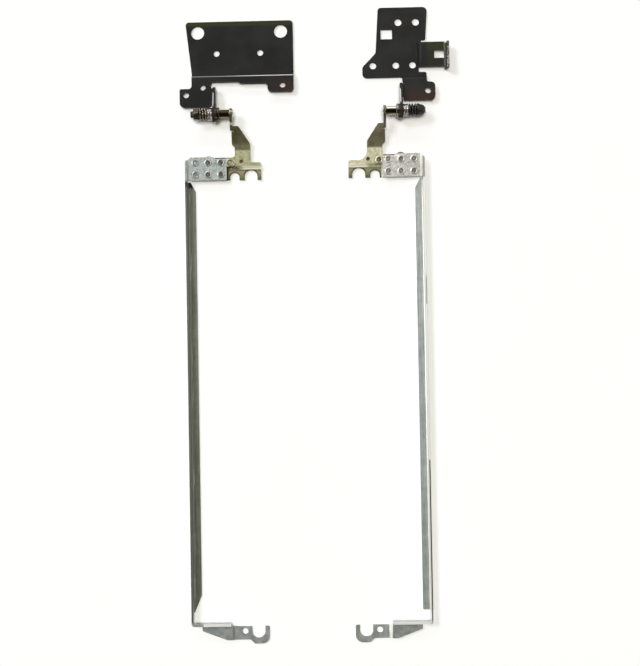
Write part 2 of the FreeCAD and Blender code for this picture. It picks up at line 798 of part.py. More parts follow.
def rail_wall():
    """Upper part of the wall along the whole rail, turned round the corner to the foot."""
    start = rail_tab_top - rail_tab_chamfer
    run = [(0, start), (0, foot_wall_face), (foot_wall_end, foot_wall_face)]
    face = rounded_face(sheet_section(run, rail_sheet, rail_bend_radius), in_plan)
    low = foot_step + rail_sheet + rail_bend_radius
    face.translate(FreeCAD.Vector(0, 0, low))
    wall = face.extrude(FreeCAD.Vector(0, 0, rail_wall_height - low))
    relief = (rail_tab_low + strip_start) / 2.0
    tab_bend_top = rail_tab_height + rail_sheet + rail_bend_radius
    low_corner = FreeCAD.Vector(-far, relief, -far)
    return wall.cut(Part.makeBox(2 * far, far, far + tab_bend_top, low_corner))


def rail_foot():
    """Foot of the rail: a gusset folded out from the wall, stepped down to the screw hook."""
    hook_end = hook_side + hook_inner_radius + hook_end_width
    run = [(0, foot_step), (foot_wall_end, foot_step)]
    run += [(foot_wall_end + foot_step_run, 0), (hook_end + rail_sheet, 0)]
    formed = fold_along(run, rail_sheet, rail_bend_radius, -far, far)
    gusset_edge = foot_wall_face - rail_bend_radius
    plate_low = foot_wall_face - foot_depth
    plate_top = foot_wall_face - hook_plate_drop
    knee = hook_side - hook_knee_inset
    trim = column([
        (foot_plate_start, gusset_edge, 0),
        (foot_plate_start, gusset_edge - foot_plate_start_drop, small_corner),
        (foot_knee, plate_low, corner),
        (knee, plate_low, small_corner),
        (knee + hook_knee_run, hook_low, small_corner),
        (hook_end, hook_low, hook_corner),
        (hook_end, plate_top, small_corner),
        (foot_wall_end + foot_step_run, plate_top, 0),
        (foot_wall_end, gusset_edge, 0),
    ])
    foot = formed.common(trim)
    inner_face = foot_wall_face + rail_sheet
    run = [(gusset_edge - rail_sheet, foot_step), (inner_face, foot_step)]
    run += [(inner_face, rail_wall_height)]
    bend = fold_across(run, rail_sheet, rail_bend_radius, foot_plate_start, foot_wall_end)
    foot = joined(foot, bend)
    low_corner = FreeCAD.Vector(hook_side - hook_inner_radius, hook_line, -far)
    mouth = Part.makeBox(2 * hook_inner_radius, far, 2 * far, low_corner)
    throat = drill(hook_inner_radius, hook_side, hook_line).fuse(mouth)
    screw_hole = drill(foot_hole_radius, foot_hole_side, foot_wall_face - foot_hole_drop)
    return foot.cut(throat).cut(screw_hole)


def screen_rail(side):
    """Rail that holds one side of the screen, clinched to the lid bracket at its tab."""
    rail = joined(rail_wall(), rail_tab(), rail_strip(side), rail_foot())
    for u, v in clinch_places():
        face = polygon_face(clinch_sides, clinch_radius, in_plan)
        face.translate(FreeCAD.Vector(u, v, rail_tab_height + clinch_floor))
        rail = rail.cut(face.extrude(FreeCAD.Vector(0, 0, rail_sheet)))
    return rail


def hinge_pieces(side):
    """All pieces of one hinge in its own frame, by name."""
    stops = stack_positions(side)
    pieces = {}
    pieces["base_bracket"] = left_base_bracket() if side == "left" else right_base_bracket()
    pieces["tab_washer"] = tab_washer(side)
    pieces["hinge_shaft"] = hinge_shaft(side)
    pieces["friction_washer"] = keyed_ring(washer_radius, stops["washer_2"], stops["washer_1"])
    pieces["pressure_washer"] = keyed_ring(washer_radius, stops["discs"], stops["washer_2"])
    for i in range(disc_count):
        start = stops["discs"] - i * disc_thickness
        spring = keyed_ring(disc_radius, start - disc_thickness, start)
        pieces["disc_spring_%d" % (i + 1)] = spring
    pieces["lock_nut"] = lock_nut(side)
    pieces["lid_bracket"] = lid_bracket(side)
    pieces["screen_rail"] = screen_rail(side)
    return pieces


def placed(piece, side):
    """Piece moved from its hinge's frame to its place in the pair."""
    moved = piece.copy()
    if side == "right":
        moved = moved.mirror(FreeCAD.Vector(0, 0, 0), FreeCAD.Vector(1, 0, 0))
        moved.translate(FreeCAD.Vector(shift_x + rail_spacing / 2.0, axis_y, 0))
    else:
        moved.translate(FreeCAD.Vector(shift_x - rail_spacing / 2.0, axis_y, 0))
    return moved


def main():
    os.makedirs("parts", exist_ok=True)
    for side in ("left", "right"):
        for name, piece in hinge_pieces(side).items():
            placed(piece, side).exportStep("parts/%s_%s.step" % (side, name))


main()
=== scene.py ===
import json
import math

import bmesh
import bpy
from mathutils import Matrix, Vector


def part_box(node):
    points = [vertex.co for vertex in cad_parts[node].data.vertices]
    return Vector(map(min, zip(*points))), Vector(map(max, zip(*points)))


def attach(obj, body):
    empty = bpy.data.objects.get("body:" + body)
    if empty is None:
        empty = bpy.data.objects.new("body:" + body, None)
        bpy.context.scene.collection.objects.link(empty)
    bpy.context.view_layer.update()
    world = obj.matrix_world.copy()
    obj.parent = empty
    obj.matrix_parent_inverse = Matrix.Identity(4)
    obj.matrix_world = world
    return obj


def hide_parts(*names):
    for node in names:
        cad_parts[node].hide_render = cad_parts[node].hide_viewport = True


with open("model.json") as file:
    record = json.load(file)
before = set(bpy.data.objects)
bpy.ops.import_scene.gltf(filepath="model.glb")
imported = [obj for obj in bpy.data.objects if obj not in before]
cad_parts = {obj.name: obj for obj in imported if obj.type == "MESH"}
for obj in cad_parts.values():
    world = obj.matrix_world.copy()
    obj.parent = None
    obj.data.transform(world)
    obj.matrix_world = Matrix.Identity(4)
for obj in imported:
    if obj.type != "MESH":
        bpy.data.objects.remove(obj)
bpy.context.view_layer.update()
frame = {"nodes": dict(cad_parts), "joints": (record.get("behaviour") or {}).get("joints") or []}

# A pair of laptop screen hinges lying opened flat on a white table, seen from straight above.
# The solids carry the sheet metal. This script adds the turned and threaded pieces of the friction
# stacks, the clinched buttons, the edges and the finishes, then the table, the light and the camera.

nodes = frame["nodes"]
scene = bpy.context.scene
MM = 0.001
SIDES = ("left", "right")
OUTWARD = {"left": -1.0, "right": 1.0}
AXIS = {joint["child"]: Vector(joint["pos_m"]) for joint in frame["joints"]}

# Places in the row frame at rest, in millimetres.
RAIL_FACE = {"left": -62.30, "right": 52.00}
CLINCH_X = {"left": (-57.4, -51.3, -45.2), "right": (47.1, 41.0, 34.9)}
CLINCH_Y = (78.25, 72.55)
TONGUE = {"left": (-40.8, 78.15), "right": (30.5, 78.15)}
BLADE_BEND = (83.6, 85.0)
FORK_STEP = (75.0, 76.5)
TAB_START = (68.9, 69.8)
TAB_END = 79.6
FOOT_END = -140.0
SLOT_ENDS = ((31.3, 71.65, 3.1), (23.5, 71.3, 2.25))
# White of the painted highlights on the rails' tab edges and bends.
PAINTED_WHITE_HIGHLIGHT = (0.97, 0.96, 0.90)
BORE = 1.65 * MM


class Signal:
    """A shader socket with arithmetic: an expression on signals adds its own nodes."""

    def __init__(self, finish, socket):
        self.finish = finish
        self.socket = socket

    def __add__(self, other):
        return self.finish.combine("ADD", self, other)

    def __radd__(self, other):
        return self.finish.combine("ADD", other, self)

    def __sub__(self, other):
        return self.finish.combine("SUBTRACT", self, other)

    def __rsub__(self, other):
        return self.finish.combine("SUBTRACT", other, self)

    def __mul__(self, other):
        return self.finish.combine("MULTIPLY", self, other)

    def __rmul__(self, other):
        return self.finish.combine("MULTIPLY", other, self)


class Finish:
    """A node tree under construction: one material or the studio's surroundings."""

    def __init__(self, tree):
        self.tree = tree

    def node(self, kind, settings=None, sockets=None, output=0):
        """Adds a node: its settings first, then the values or links of its sockets."""
        made = self.tree.nodes.new(kind)
        for name, value in (settings or {}).items():
            setattr(made, name, value)
        for key, value in (sockets or {}).items():
            self.feed(made.inputs[key], value)
        return Signal(self, made.outputs[output])

    def feed(self, socket, value):
        if isinstance(value, Signal):
            self.tree.links.new(value.socket, socket)
        elif socket.type == "RGBA":
            socket.default_value = tuple(value) + (1.0,)
        else:
            socket.default_value = value

    def combine(self, operation, first, second):
        kinds = [term.socket.type for term in (first, second) if isinstance(term, Signal)]
        if any(kind in ("RGBA", "VECTOR") for kind in kinds):
            terms = []
            for term in (first, second):
                plain = isinstance(term, (int, float))
                terms.append((term, term, term) if plain else term)
            return self.node("ShaderNodeVectorMath", {"operation": operation}, dict(enumerate(terms)))
        return self.node("ShaderNodeMath", {"operation": operation}, {0: first, 1: second})

    def mix(self, share, first, second):
        """Colour between first (share 0) and second (share 1)."""
        sockets = {0: share, 6: first, 7: second}
        return self.node("ShaderNodeMix", {"data_type": "RGBA"}, sockets, 2)

    def between(self, value, low, high):
        """Smooth rise from 0 at low to 1 at high."""
        sockets = {"Value": value, "From Min": low, "From Max": high}
        return self.node("ShaderNodeMapRange", {"interpolation_type": "SMOOTHSTEP"}, sockets)

    def lies_in(self, value, low, high, soft):
        """1 between low and high, with soft borders."""
        rise = self.between(value, low - soft, low + soft)
        return rise * (1.0 - self.between(value, high - soft, high + soft))


class Metal(Finish):
    """A metal finish: a Principled shader, in the row frame at rest, in millimetres."""

    def __init__(self, name, constants):
        self.material = bpy.data.materials.new(name)
        self.material.use_nodes = True
        super().__init__(self.material.node_tree)
        self.tree.nodes.clear()
        self.shader = self.tree.nodes.new("ShaderNodeBsdfPrincipled")
        output = self.tree.nodes.new("ShaderNodeOutputMaterial")
        self.tree.links.new(self.shader.outputs["BSDF"], output.inputs["Surface"])
        for socket, value in constants.items():
            self.feed(self.shader.inputs[socket], value)
        metres = self.node("ShaderNodeTexCoord", {}, {}, "Object")
        self.place = metres * 1000.0
        self.x, self.y, self.z = [self.part(self.place, axis) for axis in "XYZ"]
        facing = self.node("ShaderNodeTexCoord", {}, {}, "Normal")
        self.lean_x, self.lean_y, self.up = [self.part(facing, axis) for axis in "XYZ"]

    def part(self, vector, axis):
        return self.node("ShaderNodeSeparateXYZ", {}, {0: vector}, axis)

    def grain(self, per_mm, detail=2.0, stretch=(1.0, 1.0, 1.0), roughness=0.5):
        """Noise of a given fineness, drawn out along the axes of small stretch."""
        place = self.place * tuple(per_mm * s for s in stretch)
        sockets = {"Vector": place, "Scale": 1.0, "Detail": detail, "Roughness": roughness}
        return self.node("ShaderNodeTexNoise", {}, sockets, "Fac")

    def off_axis(self):
        """Distance from the line of the shafts."""
        axis = AXIS["left_lid"] / MM
        sockets = {0: self.place * (0.0, 1.0, 1.0), 1: (0.0, axis.y, axis.z)}
        return self.node("ShaderNodeVectorMath", {"operation": "DISTANCE"}, sockets, "Value")

    def spangle(self, per_mm):
        """Cells of even tone, like the crystals of a zinc coat."""
        sockets = {"Vector": self.place * per_mm, "Scale": 1.0}
        return self.part(self.node("ShaderNodeTexVoronoi", {}, sockets, "Color"), "X")

    def finish(self, colour=None, roughness=None, metallic=None, relief=None, depth=0.0):
        for socket, value in (("Base Color", colour), ("Roughness", roughness), ("Metallic", metallic)):
            if value is not None:
                self.feed(self.shader.inputs[socket], value)
        if relief is not None:
            sockets = {"Strength": 1.0, "Distance": depth * MM, "Height": relief}
            self.feed(self.shader.inputs["Normal"], self.node("ShaderNodeBump", {}, sockets))
        return self.material


def shade(colour, share):
    """Colour made darker or lighter by a share."""
    return tuple(share * c for c in colour)


def rubbed_patches(metal, colour):
    """Colour rubbed dull in patches, and the roughness that goes with it."""
    rub = metal.grain(0.9, 4.0)
    tone = metal.mix(metal.between(rub, 0.40, 0.66), shade(colour, 0.45), colour)
    return tone, 0.30 + rub * 0.25


def black_coat(name, gloss, warm_ears, olive_rim, bends):
    """Black dip coat on the base brackets, with a fine skin, dust, warm ears, and painted highlights on the
    bends and the lug's edge.
    """
    metal = Metal(name, {"Specular IOR Level": gloss, "IOR": 1.5})
    skin = metal.grain(1.6, 4.0)
    cloud = metal.grain(0.07, 3.0)
    dust = metal.between(metal.grain(2.4, 5.0, roughness=0.7), 0.66, 0.76)
    colour = metal.mix(metal.between(cloud, 0.35, 0.68), (0.0085, 0.0085, 0.0083), (0.016, 0.0158, 0.0152))
    colour = metal.mix(olive_rim(metal), colour, (0.024, 0.027, 0.009))
    colour = metal.mix(warm_ears(metal), colour, (0.030, 0.0165, 0.0115))
    colour = metal.mix(dust * 0.25, colour, (0.09, 0.088, 0.08))
    # rubbed: painted highlight lines on the bends and the lug's edge, also made partly metallic.
    rubbed = bends(metal)
    colour = metal.mix(rubbed, colour, (0.80, 0.79, 0.76))
    colour = metal.mix(lug_head(metal), colour, (0.020, 0.014, 0.012))
    roughness = 0.42 + skin * 0.18 + dust * 0.12
    return metal.finish(colour, roughness, rubbed * 0.5, skin, 0.012)


def left_ear_warmth(metal):
    return metal.between(metal.x, -22.0, -12.0) * (1.0 - metal.between(metal.y, 114.0, 121.0))


def right_ear_warmth(metal):
    return metal.between(metal.x, 42.2, 47.0) * (1.0 - metal.between(metal.y, 107.0, 114.5))


def left_olive_rim(metal):
    return metal.between(metal.y, 143.8, 145.2)


def right_olive_rim(metal):
    return metal.between(metal.x, 52.5, 56.0) * (0.35 + metal.between(metal.y, 128.0, 131.5) * 0.6)


def left_bend_highlights(metal):
    """Painted highlight along the step's upper bend, strongest at its inner half, and on the lug's cut edge.
    """
    line = metal.lies_in(metal.y, 119.60, 119.95, 0.15) * metal.between(metal.z, 2.2, 2.6)
    highlight_weight = 0.35 + metal.between(metal.x, -46.0, -26.0) * 0.55
    return line * highlight_weight + lug_edge_highlight(metal) * metal.lies_in(metal.x, -48.45, -47.75, 0.12) * 0.45


def right_bend_highlights(metal):
    """Painted highlights: the side tab's lip corner, speckled glints on the lip's top, and a line on the
    lug's cut edge.
    """
    corner = metal.lies_in(metal.x, 62.2, 63.0, 0.2) * metal.between(metal.z, 3.2, 3.5)
    speck = metal.between(metal.grain(1.0, 4.0, (0.6, 1.0, 1.0)), 0.48, 0.62)
    lip = metal.between(metal.x, 61.2, 61.8) * metal.between(metal.z, 4.8, 5.4) * (0.03 + speck * 0.36)
    lip = lip * metal.between(metal.up, 0.4, 0.7)
    return corner * 0.14 + lip + lug_edge_highlight(metal) * metal.lies_in(metal.x, 40.75, 41.25, 0.1) * 0.8


def lug_edge_highlight(metal):
    # Where the painted highlight lies on the lug's upright cut edge.
    upright = metal.between(metal.z, 4.6, 5.6) * metal.between(metal.up, 0.2, 0.6)
    return upright * metal.lies_in(metal.y, 104.2, 111.2, 0.5)


def lug_head(metal):
    return metal.between(metal.z, 3.6, 4.4) * (1.0 - metal.between(metal.y, 103.8, 104.6))


def bare_edge(name, colour, metallic=0.6):
    """Rubbed edge of a coated or plated sheet."""
    metal = Metal(name, {"Metallic": metallic})
    tone, roughness = rubbed_patches(metal, colour)
    return metal.finish(tone, roughness)


def zinc_rim(name, colour, tab_highlight_line):
    """Cut edge of a screen rail: dull, with a painted highlight along the tab's upper edge, and dark round
    the foot.
    """
    metal = Metal(name, {"Metallic": 0.6})
    tone, roughness = rubbed_patches(metal, colour)
    tone = metal.mix(metal.between(metal.y, TAB_END, TAB_END + 0.3), tone, tab_highlight_line)
    on_foot = 1.0 - metal.between(metal.y, FOOT_END - 1.5, FOOT_END - 0.5)
    tone = metal.mix(on_foot, tone, (0.14, 0.145, 0.135))
    return metal.finish(tone, roughness)


def olive_plate(name):
    """Olive nickel plate: painted shade on the sloping blade, pale on the flat plate, painted highlights on
    the bends.
    """
    metal = Metal(name, {"Metallic": 0.75})
    cloud = metal.grain(0.25, 4.0)
    brush = metal.grain(1.4, 3.0, (3.0, 0.35, 1.0))
    mottle = metal.between(metal.grain(0.9, 4.0), 0.30, 0.70)
    sparkle = metal.between(metal.grain(0.8, 4.0), 0.50, 0.60)
    on_right = metal.between(metal.x, -10.0, 10.0)
    from_left, from_right = metal.x - RAIL_FACE["left"], RAIL_FACE["right"] - metal.x
    across = from_left * (1.0 - on_right) + from_right * on_right
    slope = metal.between(metal.y, BLADE_BEND[0], BLADE_BEND[1])
    fork = 1.0 - metal.between(metal.y, 74.6, 75.4)
    left_pale = metal.mix(mottle, (0.272, 0.268, 0.150), (0.45, 0.445, 0.275))
    right_pale = metal.mix(mottle, (0.45, 0.428, 0.275), (0.72, 0.686, 0.50))
    pale = metal.mix(on_right, left_pale, right_pale)
    patchy = metal.between(cloud, 0.3, 0.7)
    # The blade's dark tones are painted shade; on the left they ease into the pale tone near the bend.
    left_dark = metal.mix(patchy, (0.088, 0.079, 0.034), (0.145, 0.131, 0.068))
    right_dark = metal.mix(patchy, (0.147, 0.133, 0.074), (0.240, 0.220, 0.142))
    near_bend = 1.0 - metal.between(metal.y, 84.6, 88.6)
    left_dark = metal.mix(near_bend * 0.55, left_dark, left_pale)
    dark = metal.mix(on_right, left_dark, right_dark)
    arms = metal.mix(metal.between(metal.y, 69.0, 74.0), (0.070, 0.064, 0.027), (0.285, 0.27, 0.163))
    colour = metal.mix(fork, metal.mix(slope, pale, dark), arms)
    colour = metal.mix(slot_end_shade(metal, across), colour, (0.105, 0.094, 0.040))
    # Painted light on the fork's step: a bright highlight clear of the tab, and shade speckled with glints
    # near it.
    step = metal.lies_in(metal.y, FORK_STEP[0], FORK_STEP[1], 0.25)
    step_shade = metal.mix(on_right, (0.15, 0.135, 0.06), (0.42, 0.40, 0.25))
    step_light = metal.mix(sparkle, step_shade, (0.50, 0.475, 0.33))
    step_light = metal.mix(metal.between(across, 25.5, 28.5), step_light, (0.95, 0.92, 0.74))
    colour = metal.mix(step, colour, step_light)
    # Painted light at the wing's end: shade on the left hinge, a highlight on the right.
    wing_end_light = metal.lies_in(across, 19.5, 20.4, 0.1) * (1.0 - metal.between(metal.y, 76.0, 76.6))
    colour = metal.mix(wing_end_light, colour, metal.mix(on_right, (0.05, 0.045, 0.02), (0.95, 0.93, 0.80)))
    # Painted shadow along the wing's edge above the rail's tab.
    wing = metal.between(metal.y, TAB_END + 0.3, TAB_END + 0.6) * (1.0 - metal.between(across, 19.0, 20.0))
    colour = metal.mix(wing, colour, (0.15, 0.14, 0.11))
    bump = metal.between(metal.y, 80.9, 81.1) * wing * (1.0 - on_right)
    colour = metal.mix(bump, colour, (0.55, 0.56, 0.52))
    # Painted shadow under the edge of the rail's tongue.
    tongue_shadow = metal.lies_in(metal.y, 75.85, 76.35, 0.1) * metal.lies_in(across, 20.0, 23.3, 0.4)
    colour = metal.mix(tongue_shadow * (1.0 - on_right * 0.6), colour, (0.035, 0.031, 0.014))
    # The ear is dark, speckled with painted glints.
    ear = metal.between(metal.z, 3.2, 4.2) * metal.between(metal.y, 96.4, 97.2)
    colour = metal.mix(ear, colour, metal.mix(sparkle, (0.115, 0.102, 0.051), (0.42, 0.39, 0.28)))
    # Painted highlight at the ear's root.
    root = metal.lies_in(metal.y, 95.4, 96.6, 0.3) * metal.lies_in(across, 21.8, 24.4, 0.2)
    colour = metal.mix(root * 0.6, colour, (0.95, 0.93, 0.80))
    # Painted shade on the floor of the pit.
    pit_shade = metal.between(metal.up, 0.5, 0.8) * (1.0 - metal.between(metal.z, 2.2, 2.4))
    pit_shade = pit_shade * metal.lies_in(metal.y, 77.2, 83.0, 0.2)
    colour = metal.mix(pit_shade, colour, (0.115, 0.09, 0.045))
    roughness = 0.36 + brush * 0.22 - ear * 0.16
    return metal.finish(colour, roughness, None, brush, 0.010)


def slot_end_shade(metal, across):
    """Painted shade at the round ends of the fork's two slots."""
    place = metal.node("ShaderNodeCombineXYZ", {}, {0: across, 1: metal.y})
    end_shade = 0.0
    for centre, line, radius in SLOT_ENDS:
        sockets = {0: place, 1: (centre, line, 0.0)}
        reach = metal.node("ShaderNodeVectorMath", {"operation": "DISTANCE"}, sockets, "Value")
        end_shade = end_shade + (1.0 - metal.between(reach, radius + 0.3, radius + 0.9))
    return end_shade * metal.between(metal.y, 71.4, 72.6)


def zinc_plate(side, strip, tab, tab_painted_light, foot, foot_step_highlight, foot_wall, wall, wall_shade_tone, bend, bend_highlight_tone):
    """Satin zinc coat of a screen rail: crystals on the tab, dull streaks along the strip.

    wall gives the reach of the painted shade line along the wall's edge, inward and along Y; bend the reach
    of the painted highlight along the bend; foot_wall where the painted highlights on the foot's upright
    wall start.
    """
    metal = Metal("zinc_" + side, {"Metallic": 0.7})
    inward = metal.x - RAIL_FACE["left"] if side == "left" else RAIL_FACE["right"] - metal.x
    crystals = metal.spangle(1.9)
    cloud = metal.grain(0.35, 4.0)
    fine = metal.grain(2.0, 3.0)
    streak = metal.grain(0.8, 4.0, (3.0, 0.06, 3.0))
    speck = metal.between(metal.grain(1.5, 4.0, roughness=0.7), 0.66, 0.73)
    on_tab = metal.between(metal.y, TAB_START[0], TAB_START[1])
    on_foot = 1.0 - metal.between(metal.y, FOOT_END - 0.9, FOOT_END)

    mottle = metal.between(crystals * 0.35 + fine * 0.35 + cloud * 0.5, 0.30, 0.85)
    tab_tone = metal.mix(mottle, shade(tab, 0.66), shade(tab, 1.30))
    # Painted light on the tab: white highlights along its upper edge and its bend, and a painted shade line
    # on the wall's top, scaled by the side's share.
    tab_highlight_line = metal.lies_in(metal.y, TAB_END - 0.05, TAB_END + 0.6, 0.1)
    tab_highlight_line = tab_highlight_line * metal.lies_in(inward, 10.0, 20.0, 0.5)
    tab_tone = metal.mix(tab_highlight_line * tab_painted_light, tab_tone, PAINTED_WHITE_HIGHLIGHT)
    tab_bend_highlight = metal.lies_in(inward + fine * 0.6, 1.4, 2.4, 0.2)
    tab_tone = metal.mix(tab_bend_highlight * tab_painted_light * 0.8, tab_tone, PAINTED_WHITE_HIGHLIGHT)
    wall_top_shade = 1.0 - metal.between(inward, 0.75, 1.0)
    tab_tone = metal.mix(wall_top_shade * tab_painted_light * 0.75, tab_tone, (0.27, 0.27, 0.245))

    streaks = metal.between(streak * 0.7 + cloud * 0.3, 0.36, 0.64)
    strip_tone = metal.mix(streaks, shade(strip, 0.78), shade(strip, 1.22))
    strip_tone = strip_tone * (0.88 + metal.between(metal.y, FOOT_END, 20.0) * 0.12)
    # Painted highlight along the bend between strip and wall, with brighter painted glints in it.
    bend_highlight = metal.lies_in(inward + fine * 0.5, bend[0] + 0.25, bend[1] + 0.25, 0.2)
    strip_tone = metal.mix(bend_highlight, strip_tone, bend_highlight_tone)
    bend_glint = metal.between(streak, 0.60, 0.68) * bend_highlight
    strip_tone = metal.mix(bend_glint, strip_tone, (0.85, 0.86, 0.82))
    # Painted shade line along the wall's edge, broken by gaps on the right rail.
    on_wall = 1.0 - metal.between(inward, wall[0] - 0.1, wall[0] + 0.1)
    wall_shade_line = on_wall * (1.0 - metal.between(metal.y, wall[1], wall[1] + 4.0))
    if side == "right":
        shade_gaps = metal.lies_in(metal.y, -65.0, 8.5, 0.8) + metal.between(metal.y, 0.0, 10.0) * 0.45
        wall_shade_line = wall_shade_line * (1.0 - metal.between(shade_gaps, 0.0, 1.0))
    strip_tone = metal.mix(wall_shade_line, strip_tone, wall_shade_tone)

    foot_tone = metal.mix(metal.between(cloud, 0.3, 0.7), shade(foot, 0.8), shade(foot, 1.2))
    # Painted highlight on the foot's step.
    foot_tone = metal.mix(metal.lies_in(inward, 19.1, 20.7, 0.25), foot_tone, foot_step_highlight)
    # Painted highlights on the foot's upright wall: a light inner face and a white rim.
    upright = metal.between(metal.z, 2.0, 2.4) * metal.between(inward, foot_wall, foot_wall + 0.8)
    wall_face_highlight = upright * metal.between(metal.lean_y, 0.3, 0.6)
    foot_tone = metal.mix(wall_face_highlight, foot_tone, (0.66, 0.67, 0.64))
    wall_rim_highlight = upright * metal.between(metal.up, 0.3, 0.6)
    foot_tone = metal.mix(wall_rim_highlight, foot_tone, (0.95, 0.95, 0.92))

    colour = metal.mix(on_tab, strip_tone, tab_tone)
    colour = metal.mix(on_foot, colour, foot_tone)
    on_tongue = metal.between(inward, 19.7, 20.2) * on_tab
    colour = metal.mix(on_tongue, colour, metal.mix(mottle, (0.32, 0.30, 0.19), (0.62, 0.59, 0.43)))
    # Painted shadow at the start of the left rail's strip.
    if side == "left":
        painted_shadow_cap = metal.between(metal.y, 66.0, 67.2) * (1.0 - on_tab)
        colour = metal.mix(painted_shadow_cap, colour, (0.022, 0.022, 0.020))
    # Painted highlight on the wall's inner face; the outer face keeps a plain zinc tone.
    outward = metal.lean_x * OUTWARD[side]
    inner_face_highlight = metal.between(0.0 - outward, 0.3, 0.6) * (1.0 - on_tab)
    colour = metal.mix(inner_face_highlight, colour, shade(bend_highlight_tone, 0.97))
    outer_face = metal.between(outward, 0.3, 0.6)
    colour = metal.mix(outer_face, colour, metal.mix(streaks, (0.27, 0.28, 0.265), (0.40, 0.415, 0.395)))
    colour = metal.mix(speck * 0.45, colour, (0.05, 0.05, 0.043))
    roughness = 0.38 + crystals * 0.08 + cloud * 0.16
    return metal.finish(colour, roughness, None, cloud + crystals * 0.3, 0.012)


def spring_steel(name, colour, bright, piece, polish=0.16):
    """Oiled dark spring steel of the discs and the nut, with a painted highlight along the piece's rim."""
    metal = Metal(name, {"Metallic": 0.9, "Coat Weight": 0.2, "Coat Roughness": 0.15})
    low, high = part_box(piece)
    rim = (high.z - low.z) / 2.0 / MM
    oil = metal.grain(0.9, 4.0)
    rub = metal.between(metal.grain(1.3, 4.0, (2.0, 0.8, 0.8)), 0.36, 0.66)
    # Painted highlight along the rim, broken up by the rub noise.
    highlight_weight = metal.between(metal.off_axis(), rim - 0.55, rim - 0.05)
    tone = metal.mix(metal.between(oil, 0.3, 0.7), shade(colour, 0.7), shade(colour, 1.4))
    tone = metal.mix(highlight_weight * (0.25 + rub * 0.65), tone, bright)
    return metal.finish(tone, polish + oil * 0.2, None, oil, 0.008)


def bright_steel(name):
    """Bright washers, with the fine turning marks left on their faces and dark grease between."""
    metal = Metal(name, {"Metallic": 0.95})
    turning = metal.grain(5.0, 2.0, (4.0, 0.2, 0.2))
    film = metal.grain(1.1, 3.0, (2.6, 0.45, 0.45))
    tone = metal.mix(metal.between(film, 0.38, 0.62), (0.10, 0.08, 0.076), (0.53, 0.485, 0.465))
    return metal.finish(tone, 0.14 + turning * 0.16, None, turning, 0.006)


def turned_steel(side, barrel, rivet, rivet_dull, rivet_glint, band, shine, rim, brown):
    """Turned steel of a shaft: a painted highlight band on the barrel, a rivet speckled with painted glints,
    the rest browned and greased.

    barrel and rivet are stretches along X; band is the barrel's painted highlight band, by its lean towards
    Y.
    """
    metal = Metal("shaft_" + side, {"Metallic": 0.95})
    turning = metal.grain(3.5, 2.0, (4.0, 0.25, 0.25))
    grease = metal.between(metal.grain(0.6, 4.0), 0.40, 0.66)
    browned = metal.mix(grease, brown, shade(brown, 0.35))
    # Painted light by the barrel's facing: a highlight band, dark round it, and a lighter tone towards the
    # top and bottom edges.
    highlight_band = metal.lies_in(metal.lean_y, band[0], band[1], 0.10)
    barrel_light = metal.mix(highlight_band, (0.040, 0.029, 0.014), shine)
    sides = metal.between(metal.lean_y, 0.86, 0.95) + metal.between(0.0 - metal.lean_y, 0.78, 0.92)
    barrel_light = metal.mix(sides, barrel_light, rim)
    tone = metal.mix(metal.lies_in(metal.x, barrel[0], barrel[1], 0.06), browned, barrel_light)
    # The rivet's speckle is painted glints.
    speck = metal.between(metal.grain(1.7, 4.0), 0.40, 0.62)
    riveted = metal.mix(speck, rivet_dull, rivet_glint)
    tone = metal.mix(metal.lies_in(metal.x, rivet[0], rivet[1], 0.06), tone, riveted)
    return metal.finish(tone, 0.10 + turning * 0.10, None, turning, 0.004)


def browned_steel(name):
    """Browned, greased steel of the tabbed washers."""
    metal = Metal(name, {"Metallic": 0.9})
    grease = metal.between(metal.grain(1.1, 4.0), 0.40, 0.62)
    tone = metal.mix(grease, (0.13, 0.095, 0.09), (0.035, 0.024, 0.022))
    return metal.finish(tone, 0.24 + grease * 0.12, None, grease, 0.006)


def round_point(x, radius, angle):
    return x, radius * math.sin(angle), radius * math.cos(angle)


def turned(name, profile, body, material, shape=round_point, ring=True, segments=72):
    """Piece turned about the shaft from a run of (x, radius) in metres, each point bent by shape."""
    axis = AXIS[body]
    mesh = bmesh.new()
    loops = []
    for x, radius in profile:
        loop = []
        for i in range(segments):
            along, across, up = shape(x, radius, 2.0 * math.pi * i / segments)
            loop.append(mesh.verts.new((along, axis.y + across, axis.z + up)))
        loops.append(loop)
    following = loops[1:] + loops[:1] if ring else loops[1:]
    for first, second in zip(loops, following):
        for i in range(segments):
            j = (i + 1) % segments
            mesh.faces.new((first[i], first[j], second[j], second[i]))
    if not ring:
        mesh.faces.new(loops[0])
        mesh.faces.new(loops[-1])
    return add_piece(name, mesh, body, [material])


def add_piece(name, mesh, body, materials, smooth_angle=35.0):
    bmesh.ops.recalc_face_normals(mesh, faces=mesh.faces)
    for face in mesh.faces:
        face.smooth = True
    limit = math.radians(smooth_angle)
    for edge in mesh.edges:
        edge.smooth = edge.is_manifold and edge.calc_face_angle(0.0) < limit
    data = bpy.data.meshes.new(name)
    mesh.to_mesh(data)
    mesh.free()
    piece = bpy.data.objects.new(name, data)
    for material in materials:
        piece.data.materials.append(material)
    scene.collection.objects.link(piece)
    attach(piece, body)
    return piece


